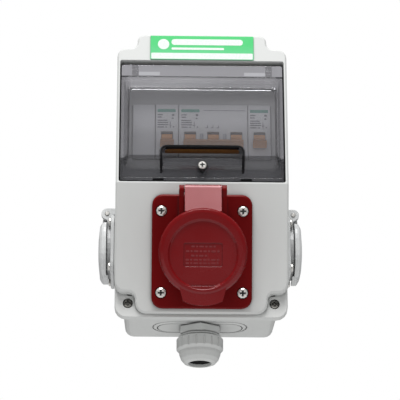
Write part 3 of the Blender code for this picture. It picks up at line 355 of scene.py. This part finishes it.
def smoked_body(paint, wipes):
    """Smoky body under the skin: clear in the middle, lighter haze on the bevels as a painted highlight,
    darker haze as painted shade below the bulge, in the grip by the latch and along two crease lines.
    """
    split = paint.node("ShaderNodeSeparateXYZ")
    paint.feed(split.inputs["Vector"], paint.where)
    height = split.outputs["Z"]
    aside = paint.maths("ABSOLUTE", split.outputs["X"], 0.0)

    hinge_strip = paint.spread(height, *WINDOW_HINGE_STRIP, 0.0, 0.25)
    # Lighter haze on the top bevel and the flanks is a painted highlight.
    top_bevel_highlight = paint.spread(height, *WINDOW_TOP_BEVEL, 0.0, 0.22)
    bulge = paint.spread(height, *WINDOW_BULGE_FOOT, 0.0, 1.0)
    flanks = paint.maths("MULTIPLY", paint.spread(aside, *WINDOW_FLANKS, 0.0, 0.24), bulge)
    pad_rows = paint.band(height, *HINGE_PAD_HEIGHTS)
    pads = paint.maths("MULTIPLY", paint.band(aside, *HINGE_PAD_SPAN), pad_rows)
    ends = paint.maths("MULTIPLY", paint.band(aside, *STRIP_END_SPAN), hinge_strip)
    # Darker haze in the finger grip is painted shade.
    grip = paint.maths("MULTIPLY", paint.band(height, *GRIP_HEIGHTS), paint.band(aside, *GRIP_SPAN))
    # Dark lines along the two crease lines of the bulge are painted shade.
    crease_shade = paint.maths("MAXIMUM", paint.band(height, *TOP_CREASE), paint.band(height, *LOW_CREASE))

    haze_and_painted_light = paint.maths("ADD", paint.spread(wipes, 0.0, 1.0, 0.15, 0.20), hinge_strip)
    haze_and_painted_light = paint.maths("ADD", haze_and_painted_light, paint.maths("MAXIMUM", top_bevel_highlight, flanks))
    haze_and_painted_light = paint.maths("ADD", haze_and_painted_light, paint.maths("SUBTRACT", paint.maths("MULTIPLY", pads, 0.1), ends))
    haze_and_painted_light = paint.maths("ADD", haze_and_painted_light, paint.maths("MULTIPLY", grip, 0.12))

    haze_tone_and_shade = paint.mix(pads, colour(0.40, 0.395, 0.42), colour(0.52, 0.52, 0.55))
    haze_tone_and_shade = paint.mix(paint.maths("MULTIPLY", crease_shade, 0.9), haze_tone_and_shade, colour(0.04, 0.04, 0.045))
    # Below the bulge foot the haze turns darker, a painted shade of the downward-facing bevel.
    haze_tone_and_shade = paint.mix(bulge, colour(0.20, 0.20, 0.215), haze_tone_and_shade)
    haze = paint.node("ShaderNodeBsdfDiffuse")
    paint.feed(haze.inputs["Color"], haze_tone_and_shade)
    # Below the bulge foot less light passes through as well, part of the same painted shade.
    clear = paint.mix(bulge, colour(0.78, 0.78, 0.80), colour(0.98, 0.98, 0.99))
    through = paint.node("ShaderNodeBsdfTransparent")
    paint.feed(through.inputs["Color"], paint.mix(crease_shade, clear, colour(0.45, 0.45, 0.47)))
    return paint.layers(haze_and_painted_light, through.outputs["BSDF"], haze.outputs["BSDF"])


def window_ripple(paint):
    """Normal of the window's skin: rounded edges with very shallow ripples."""
    soft = paint.node("ShaderNodeBevel", samples=6)
    soft.inputs["Radius"].default_value = 0.0006
    bump = paint.node("ShaderNodeBump")
    bump.inputs["Distance"].default_value = 0.00003
    bump.inputs["Strength"].default_value = 0.08
    paint.feed(bump.inputs["Height"], paint.noise(260.0, 3.0))
    paint.feed(bump.inputs["Normal"], soft.outputs["Normal"])
    return bump.outputs["Normal"]


def smoked_window():
    """Smoked polycarbonate: tinted body, glossy skin, fine wipe marks."""
    paint = Paint("window_smoke")
    paint.tree.nodes.remove(paint.shader)
    wipes = paint.spread(paint.noise(30.0, 5.0, (0.3, 1.0, 2.2)), 0.42, 0.72, 0.0, 1.0)
    body = smoked_body(paint, wipes)
    ripple = window_ripple(paint)
    gloss = paint.node("ShaderNodeBsdfGlossy")
    paint.feed(gloss.inputs["Roughness"], paint.spread(wipes, 0.0, 1.0, 0.1, 0.2))
    paint.feed(gloss.inputs["Normal"], ripple)
    edge = paint.node("ShaderNodeFresnel")
    edge.inputs["IOR"].default_value = 1.5
    paint.feed(edge.inputs["Normal"], ripple)
    skin = paint.layers(edge.outputs["Fac"], body, gloss.outputs["BSDF"])
    output = paint.tree.nodes["Material Output"]
    paint.feed(output.inputs["Surface"], skin)
    tint = paint.node("ShaderNodeVolumeAbsorption")
    tint.inputs["Color"].default_value = colour(0.55, 0.55, 0.6)
    tint.inputs["Density"].default_value = 40.0
    paint.feed(output.inputs["Volume"], tint.outputs["Volume"])
    return paint.material


def printed_green():
    """Green plastic label, a little paler towards its lower edge, under clear film."""
    paint = Paint("label_green")
    split = paint.node("ShaderNodeSeparateXYZ")
    paint.feed(split.inputs["Vector"], paint.where)
    fade = paint.spread(split.outputs["Z"], 0.087, 0.1, 1.0, 0.0)
    tone = paint.mix(fade, colour(0.05, 0.55, 0.16), colour(0.13, 0.55, 0.27))
    speck = paint.spread(paint.noise(700.0, 3.0), 0.4, 0.65, 0.0, 0.12)
    tone = paint.mix(speck, tone, colour(0.02, 0.42, 0.1))
    paint.feed(paint.shader.inputs["Base Color"], tone)
    paint.feed(
        paint.shader.inputs["Roughness"], paint.spread(paint.noise(90.0), 0.3, 0.7, 0.3, 0.42)
    )
    paint.relief([(paint.noise(1200.0, 2.0), 0.00002, 0.2)], 0.0003)
    return paint.material


def ink(name, base, faded, gloss=0.5):
    """Thin pad-printed ink with small breaks in its cover, also used for the painted shade and painted
    view pieces.
    """
    paint = Paint(name)
    paint.shader.inputs["Specular IOR Level"].default_value = gloss
    breaks = paint.spread(paint.noise(1100.0, 4.0), 0.4, 0.68)
    paint.feed(paint.shader.inputs["Base Color"], paint.mix(breaks, base, faded))
    paint.feed(paint.shader.inputs["Roughness"], paint.spread(breaks, 0.0, 1.0, 0.4, 0.6))
    paint.relief([(breaks, 0.00001, 0.3)])
    return paint.material


# Detail pieces --------------------------------------------------------------


# Rows of small print on a breaker's front: height of the foot and width.
PRINT_ROWS = ((46.6, 4.2), (44.6, 3.6), (41.9, 7.6), (40.1, 8.2), (38.3, 8.4), (36.3, 5.0))
PRINT_TALL = 0.95
PRINT_CORNER = 0.3


def breaker_block(left):
    """Outlines of the small print on one breaker front, from its left edge."""
    bars = []
    for height, width in PRINT_ROWS:
        bars.append(rounded_bar(left, left + width, height, height + PRINT_TALL, PRINT_CORNER))
    bars.append(rounded_bar(left + 6.0, left + 7.6, 36.3, 36.3 + PRINT_TALL, PRINT_CORNER))
    for height, size in ((46.2, 2.0), (43.6, 1.5)):
        mark = left + 11.0
        bars.append(rounded_bar(mark, mark + size, height, height + size * 0.8, PRINT_CORNER))
    bars.append(rounded_bar(left + 9.6, left + 10.1, 36.0, 41.6, 0.2))
    bars.append(rounded_bar(left + 8.8, left + 10.9, 38.2, 38.7, 0.2))
    bars.append(disc(left + 12.4, 37.0, 0.6, 10))
    return bars


def triple_extras():
    """Outlines that only the triple-pole breaker has: a long rule and three small signs."""
    bars = [rounded_bar(1.2, 33.4, 50.7, 51.1, 0.15)]
    for x in (2.8, 7.0, 11.2):
        bars.append(rounded_bar(x, x + 2.0, 36.2, 36.8, 0.2))
        bars.append(rounded_bar(x + 1.5, x + 2.0, 36.6, 38.6, 0.2))
    return bars


def add_breaker_print(teal, grey, shadow):
    """Header strip and small print of each breaker, and darker bars between the poles as painted shade of
    the pole slots.
    """
    labels = {"breaker_left": -33.9, "breaker_triple": -15.6, "breaker_right": 37.2}
    face = BREAKER_FACE - SKIN
    proud = BREAKER_FACE + PRINT_HEIGHT
    for name, left in labels.items():
        header = [rounded_bar(left, left + 14.0, 49.3, 51.8, 0.4)]
        raised(name + "_header", header, face, proud, FRONT, teal, "enclosure")
        print_bars = breaker_block(left)
        if name == "breaker_triple":
            print_bars.extend(triple_extras())
        raised(name + "_print", print_bars, face, proud, FRONT, grey, "enclosure")
    # Darker bars at the slots between the poles are painted shade.
    slot_shades = []
    for x in (0.0, POLE_WIDTH):
        slot_shades.append(rounded_bar(x - 1.3, x - 0.3, 24.8, 31.6, 0.3))
        slot_shades.append(rounded_bar(x + 0.3, x + 1.3, 24.8, 31.6, 0.3))
    proud = BREAKER_FACE + 0.3
    raised("breaker_pole_slot_shade", slot_shades, face, proud, FRONT, shadow, "enclosure")


def arch(half_width, top, radius, foot, steps=6):
    """Points of a round-shouldered doorway outline, from its left foot to its right foot."""
    points = [(-half_width, foot)]
    for side, start in ((-1.0, 180.0), (1.0, 90.0)):
        for step in range(steps + 1):
            angle = math.radians(start - 90.0 * step / steps)
            centre = side * (half_width - radius)
            points.append((centre + radius * math.cos(angle), top - radius + radius * math.sin(angle)))
    points.append((half_width, foot))
    return points


GRIP_HALF = 28.0
GRIP_CEILING = 12.2
LEG_THICK = 1.9
LATCH_PAD_OFFSET = 33.1


def grip_outline(black):
    """Raised black line along the outer edge of the finger grip's doorway, a painted shade of its edge.
    """
    solid = bmesh.new()
    rings = []
    for line in (arch(31.7, 14.0, 5.2, 5.4), arch(30.3, 12.7, 3.9, 5.4)):
        for out in (BULGE_FACE - 0.3, BULGE_FACE + TRIM_HEIGHT):
            rings.append([solid.verts.new(FRONT @ Vector((x, z, out))) for x, z in line])
    outer_low, outer_high, inner_low, inner_high = rings
    around = [outer_low, outer_high, inner_high, inner_low, outer_low]
    for first, second in zip(around, around[1:]):
        for index in range(len(first) - 1):
            solid.faces.new((first[index], first[index + 1], second[index + 1], second[index]))
    for end in (0, -1):
        solid.faces.new([ring[end] for ring in around[:4]])
    edge = linked("grip_edge_shade", solid, black)
    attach(edge, "flap")


def add_grip_shade_and_pads(black, toggle_view):
    """Black strips on the finger grip's edge, legs and ceiling as painted shade, an orange-brown strip
    painted as the toggles seen through it, and two latch pads.
    """
    grip_outline(black)
    face = BULGE_FACE
    leg = [
        (5.6, face + TRIM_HEIGHT),
        (-3.3, FLAP_FACE + 0.3),
        (-6.4, FLAP_FACE + 0.3),
        (-6.4, FLAP_FACE - 0.3),
        (-3.3, FLAP_FACE - 0.3),
        (5.6, face - 0.5),
    ]
    # Black legs down the grip's sides are painted shade.
    for side, start in (("left", -31.8), ("right", 29.9)):
        raised("grip_leg_shade_" + side, [leg], start, start + LEG_THICK, PROFILE, black, "flap")
    # A black strip under the grip's ceiling is painted shade.
    top_shade = [rounded_bar(-GRIP_HALF, GRIP_HALF, GRIP_CEILING, GRIP_CEILING + 0.55, 0.2)]
    raised("grip_top_shade", top_shade, face - 4.0, face - 0.1, FRONT, black, "flap")
    # An orange-brown strip inside the grip is a painted view of the tan toggles seen through the plastic.
    strip = [rounded_bar(-GRIP_HALF, GRIP_HALF, GRIP_CEILING, GRIP_CEILING + 0.5, 0.2)]
    raised("grip_toggle_view", strip, face - 12.0, face - 4.3, FRONT, toggle_view, "flap")
    face = FLAP_FACE
    for side, x in (("left", -LATCH_PAD_OFFSET), ("right", LATCH_PAD_OFFSET)):
        pad = [rounded_bar(x - 4.2, x + 4.2, -12.8, -10.9, 0.4)]
        raised("latch_pad_" + side, pad, face - 0.3, face + 0.15, FRONT, black, "flap")


def add_recess_shadow(black):
    """Black strips down both sides of the window's recess, a painted shadow in the deep slits."""
    thick = 0.75
    for side, start in (("left", -62.7), ("right", 61.95)):
        strip = [rounded_bar(start, start + thick, -12.0, 82.0, 0.3)]
        raised("recess_shadow_strip_" + side, strip, 90.0, 98.4, FRONT, black, "enclosure")


def add_label_print(white):
    """Plain white band, two bars and a dot on the green label."""
    face = LABEL_FACE - 0.05
    proud = LABEL_FACE + 0.08
    band = [rounded_bar(-39.0, 39.0, 87.6, 92.6, 0.5)]
    raised("label_band", band, face, proud, FRONT, white, "enclosure")
    marks = [
        rounded_bar(-23.5, 31.5, 99.4, 104.4, 2.4, 6),
        rounded_bar(-23.5, 17.0, 95.4, 97.2, 0.85, 4),
        disc(-29.6, 100.0, 4.4, 28),
    ]
    raised("label_marks", marks, face, proud, FRONT, white, "enclosure")


def add_screw_crosses(shadow):
    """Dark fill at the bottom of the cross recesses of the bright screws, a painted shade."""
    reach = 2.3
    half = 0.72
    base = INLET_SCREW_TOP - 0.9
    top = INLET_SCREW_TOP + SKIN
    for number, (x, y) in enumerate(INLET_SCREWS, 1):
        bars = [
            rounded_bar(x - reach, x + reach, y - half, y + half, 0.2),
            rounded_bar(x - half, x + half, y - reach, y + reach, 0.2),
        ]
        name = "inlet_screw_%d_cross" % number
        raised(name, bars, base, top, INLET, shadow, "enclosure")
    bars = [rounded_bar(-1.8, 1.8, -2.05, -0.95, 0.2), rounded_bar(-0.55, 0.55, -3.3, 0.3, 0.2)]
    top = WINDOW_SCREW_TOP
    raised("window_screw_cross", bars, top - 0.7, top + SKIN, FRONT, shadow, "flap_screw")


# Rows of dashes on the red lid's panel: height of the foot, left end and right end.
DASH_ROWS = (
    (2.4, -8.6, 9.4),
    (-1.1, -12.6, 12.8),
    (-4.4, -8.8, 5.0),
    (-7.4, -12.8, 12.6),
    (-9.9, -12.8, 11.4),
)
DASH_WIDTHS = (2.6, 1.6, 3.4, 2.0)
DASH_TALL = 1.3
DASH_GAP = 0.8


def add_lid_relief(red):
    """Rows of raised dashes that spell nothing."""
    dashes = []
    for height, left, right in DASH_ROWS:
        cursor = left
        step = 0
        while cursor < right - 1.0:
            width = DASH_WIDTHS[step % len(DASH_WIDTHS)]
            end = min(cursor + width, right)
            dashes.append(rounded_bar(cursor, end, height, height + DASH_TALL, 0.4))
            cursor += width + DASH_GAP
            step += 1
    face = LID_PANEL - SKIN
    proud = LID_PANEL + 0.14
    raised("inlet_lid_relief", dashes, face, proud, INLET, red, "inlet_cap")


# Painting the frame -------------------------------------------------------


# The first entry that a node's name starts with chooses its paint.
PAINT_ORDER = {
    "inlet_screw": "steel",
    "left_socket_screw": "steel",
    "right_socket_screw": "steel",
    "cover_screw": "dark_steel",
    "window_screw_bush": "rubber",
    "window_screw": "steel",
    "window_pin": "steel",
    "left_socket_pin": "steel",
    "right_socket_pin": "steel",
    "inlet_lid_pin": "steel",
    "inlet_lid_spring": "steel",
    "inlet_lid_seal": "rubber",
    "inlet_gasket": "rubber",
    "cover_gasket": "rubber",
    "gland_seal": "rubber",
    "inlet_contact": "brass",
    "earth_bar": "brass",
    "din_rail": "zinc",
    "inlet_insert": "insert",
    "left_socket_insert": "insert",
    "right_socket_insert": "insert",
    "inlet_lid": "lid",
    "inlet_": "red",
    "left_socket": "socket",
    "right_socket": "socket",
    "window_flap": "smoke",
    "toggle": "toggle",
    "breaker": "breaker",
    "blanking_plate": "breaker",
    "label_plate": "green",
    "gland": "gland",
    "front_cover": "grey",
    "base_box": "grey",
}


def paint_nodes(paints):
    """Give each node of the frame its paint."""
    for name, item in NODES.items():
        kind = next(kind for kind in PAINT_ORDER if name.startswith(kind))
        chosen = paints[PAINT_ORDER[kind]]
        for slot in item.material_slots:
            slot.material = chosen


def red_paints():
    """Two reds: a satin one for the housing and a shinier one for the lid."""
    # On both reds the paler edges are partly from rubbing and partly a painted edge highlight.
    satin = moulded(
        "socket_red",
        base=colour(0.125, 0.0015, 0.002),
        worn=colour(0.24, 0.008, 0.01),
        roughness=0.36,
        grain=0.15,
        rounding=0.0005,
        gloss=0.16,
        wear_and_highlight=0.4,
        sheen=colour(1.0, 0.5, 0.5),
    )
    shiny = moulded(
        "lid_red",
        base=colour(0.15, 0.002, 0.003),
        worn=colour(0.3, 0.015, 0.018),
        roughness=0.22,
        grain=0.12,
        rounding=0.0005,
        gloss=0.55,
        wear_and_highlight=0.4,
        sheen=colour(1.0, 0.66, 0.69),
    )
    return satin, shiny


def make_paints():
    """Every paint of the frame's nodes, by the names that PAINT_ORDER uses."""
    # Name, colour, worn colour, roughness, grain and edge rounding in metres.
    plastics = {
        "grey": ("enclosure_grey", (0.60, 0.61, 0.60), (0.70, 0.71, 0.70), 0.42, 0.22, 0.0006),
        "socket": ("socket_white", (0.66, 0.67, 0.67), (0.76, 0.77, 0.77), 0.36, 0.16, 0.0005),
        "gland": ("gland_grey", (0.60, 0.61, 0.60), (0.70, 0.71, 0.70), 0.34, 0.2, 0.0005),
        "breaker": ("breaker_grey", (0.74, 0.75, 0.76), (0.82, 0.83, 0.83), 0.4, 0.15, 0.0003),
        "toggle": ("toggle_tan", (0.66, 0.28, 0.05), (0.75, 0.38, 0.10), 0.4, 0.15, 0.0004),
        "insert": ("insert_dark", (0.02, 0.02, 0.022), (0.07, 0.07, 0.075), 0.4, 0.2, 0.0004),
    }
    paints = {}
    for key, (name, base, worn, roughness, grain, rounding) in plastics.items():
        paints[key] = moulded(name, colour(*base), colour(*worn), roughness, grain, rounding)
    paints["red"], paints["lid"] = red_paints()
    bright = colour(0.92, 0.90, 0.86)
    paints["steel"] = metal("screw_steel", bright, colour(0.74, 0.72, 0.68), 0.26, 0.5)
    paints["dark_steel"] = metal("screw_dark", colour(0.30, 0.29, 0.27), colour(0.12, 0.12, 0.11), 0.26)
    paints["zinc"] = metal("rail_zinc", colour(0.74, 0.76, 0.78), colour(0.5, 0.52, 0.53), 0.36)
    paints["brass"] = metal("contact_brass", colour(0.78, 0.56, 0.22), colour(0.5, 0.33, 0.12), 0.3)
    paints["rubber"] = rubber("seal_black")
    paints["smoke"] = smoked_window()
    paints["green"] = printed_green()
    return paints


# Studio -------------------------------------------------------------------


# The camera stands low and a little left, about 1.6 m away, with a long lens.
CAMERA_PLACE = (-0.0401, -1.4809, -0.5717)
CAMERA_HEADING = (0.02586, 0.9302, 0.36613)
CAMERA_ROLL = -0.09
CAMERA_LENS = 178.7
FLOOR_HEIGHT = -0.9
LIGHT_TARGET = (0.0, -0.06, 0.0)


def add_camera():
    """Camera a little below the box, looking up at its slanted face."""
    data = bpy.data.cameras.new("camera")
    data.lens = CAMERA_LENS
    data.sensor_width = 36.0
    data.clip_start = 0.05
    camera = bpy.data.objects.new("camera", data)
    bpy.context.scene.collection.objects.link(camera)
    camera.location = CAMERA_PLACE
    heading = Vector(CAMERA_HEADING).to_track_quat("-Z", "Y")
    roll = Quaternion((0.0, 0.0, 1.0), math.radians(CAMERA_ROLL))
    camera.rotation_mode = "QUATERNION"
    camera.rotation_quaternion = heading @ roll
    bpy.context.scene.camera = camera


def add_softbox(name, location, target, width, height, energy):
    """Rectangular area light that faces the target."""
    data = bpy.data.lights.new(name, "AREA")
    data.shape = "RECTANGLE"
    data.size = width
    data.size_y = height
    data.energy = energy
    light = bpy.data.objects.new(name, data)
    bpy.context.scene.collection.objects.link(light)
    light.location = location
    light.rotation_mode = "QUATERNION"
    light.rotation_quaternion = (Vector(target) - Vector(location)).to_track_quat("-Z", "Y")


def add_floor():
    """Pale floor well below the wall-hung box, gently mottled."""
    mesh = bpy.data.meshes.new("floor")
    sheet = bmesh.new()
    bmesh.ops.create_grid(sheet, x_segments=8, y_segments=8, size=2.5)
    sheet.to_mesh(mesh)
    sheet.free()
    floor = bpy.data.objects.new("floor", mesh)
    bpy.context.scene.collection.objects.link(floor)
    floor.location = (0.0, 0.0, FLOOR_HEIGHT)
    paint = Paint("floor_pale")
    shade = paint.spread(paint.noise(2.0, 4.0), 0.3, 0.7)
    paint.feed(
        paint.shader.inputs["Base Color"],
        paint.mix(shade, colour(0.80, 0.80, 0.80), colour(0.84, 0.84, 0.84)),
    )
    paint.shader.inputs["Roughness"].default_value = 0.8
    mesh.materials.append(paint.material)


def add_world():
    """White surround for the camera, dimmer for the light that it gives and its reflections."""
    world = bpy.data.worlds.new("studio")
    world.use_nodes = True
    tree = world.node_tree
    seen = tree.nodes["Background"]
    seen.inputs["Color"].default_value = colour(1.0, 1.0, 1.0)
    seen.inputs["Strength"].default_value = 1.0
    given = tree.nodes.new("ShaderNodeBackground")
    given.inputs["Color"].default_value = colour(1.0, 1.0, 1.0)
    ray = tree.nodes.new("ShaderNodeLightPath")
    level = tree.nodes.new("ShaderNodeMapRange")
    level.inputs["To Min"].default_value = 0.42
    level.inputs["To Max"].default_value = 0.14
    tree.links.new(ray.outputs["Is Glossy Ray"], level.inputs["Value"])
    tree.links.new(level.outputs["Result"], given.inputs["Strength"])
    choose = tree.nodes.new("ShaderNodeMixShader")
    tree.links.new(ray.outputs["Is Camera Ray"], choose.inputs["Fac"])
    tree.links.new(given.outputs["Background"], choose.inputs[1])
    tree.links.new(seen.outputs["Background"], choose.inputs[2])
    tree.links.new(choose.outputs["Shader"], tree.nodes["World Output"].inputs["Surface"])
    bpy.context.scene.world = world


def add_details():
    """Prints, marks, latch pads and the painted shade and painted view pieces that ride on the frame's
    bodies.
    """
    teal = ink("ink_teal", colour(0.06, 0.34, 0.25), colour(0.16, 0.42, 0.35))
    grey_ink = ink("ink_grey", colour(0.12, 0.12, 0.14), colour(0.3, 0.3, 0.32))
    # Orange-brown for the painted view of the toggles through the grip.
    toggle_view = ink("grip_painted_toggles", colour(0.26, 0.10, 0.012), colour(0.12, 0.05, 0.015))
    # Grey-blue for the painted shade of the slots between the breaker poles.
    pole_slot_shade = ink("breaker_slot_shade", colour(0.36, 0.38, 0.42), colour(0.5, 0.52, 0.56))
    white = ink("ink_white", colour(0.76, 0.80, 0.77), colour(0.62, 0.74, 0.66))
    add_breaker_print(teal, grey_ink, pole_slot_shade)
    add_label_print(white)
    add_lid_relief(ink("lid_relief", colour(0.20, 0.012, 0.015), colour(0.14, 0.008, 0.01)))
    # Near-black for the painted shade in the screw crosses.
    add_screw_crosses(ink("screw_cross_shade", colour(0.02, 0.02, 0.02), colour(0.06, 0.06, 0.055)))
    # Black for the painted shade on the grip and in the recess slits, and for the latch pads.
    black = ink("black_trim_and_shade", colour(0.003, 0.003, 0.004), colour(0.012, 0.012, 0.013), 0.08)
    add_grip_shade_and_pads(black, toggle_view)
    add_recess_shadow(black)


def main():
    bpy.context.scene.view_settings.view_transform = "Standard"
    paint_nodes(make_paints())
    add_details()
    add_camera()
    add_world()
    add_floor()
    add_softbox("key", (-0.15, -1.25, 2.1), LIGHT_TARGET, 1.5, 1.1, 71.0)
    add_softbox("strip", (-0.1, -1.75, 1.34), LIGHT_TARGET, 1.2, 0.4, 9.0)


main()
